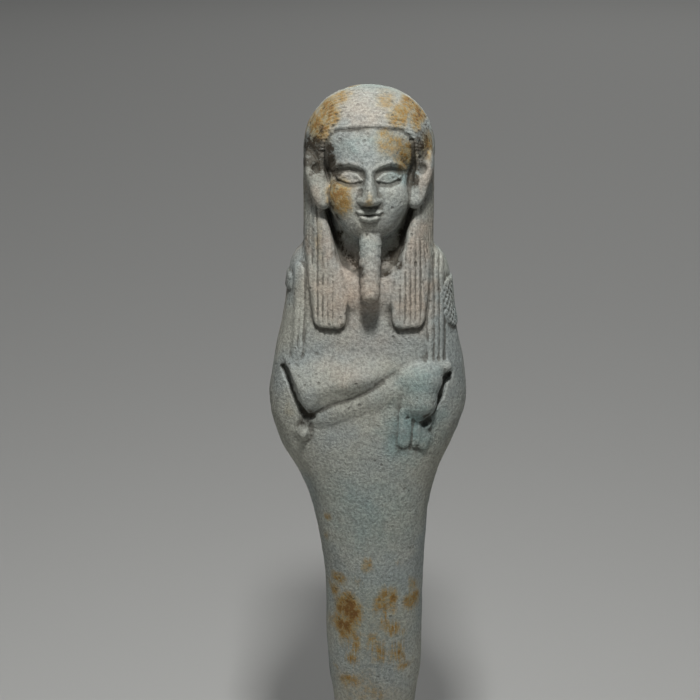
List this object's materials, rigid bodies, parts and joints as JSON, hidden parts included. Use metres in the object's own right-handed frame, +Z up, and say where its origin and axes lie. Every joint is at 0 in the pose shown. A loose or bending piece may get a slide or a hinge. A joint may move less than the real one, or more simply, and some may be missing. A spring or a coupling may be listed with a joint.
{
  "type": "ushabti figurine",
  "caption": "Mummiform funerary figurine in matte faience, arms crossed and holding a hoe, standing on a low plinth with a back pillar.",
  "frame": {"origin": "on the plinth's underside, below the axis of the legs", "axes": "+Z up along the figure, from the plinth to the crown; the figure faces -Y; +X is to the figure's left"},
  "size_m": [0.0376, 0.03, 0.15],
  "materials": {
    "faience": "dry matte pale green-blue faience with a fine sandy grain and orange-brown stains"
  },
  "bodies": {
    "root": {"ushabti": "faience"}
  },
  "joints": []
}
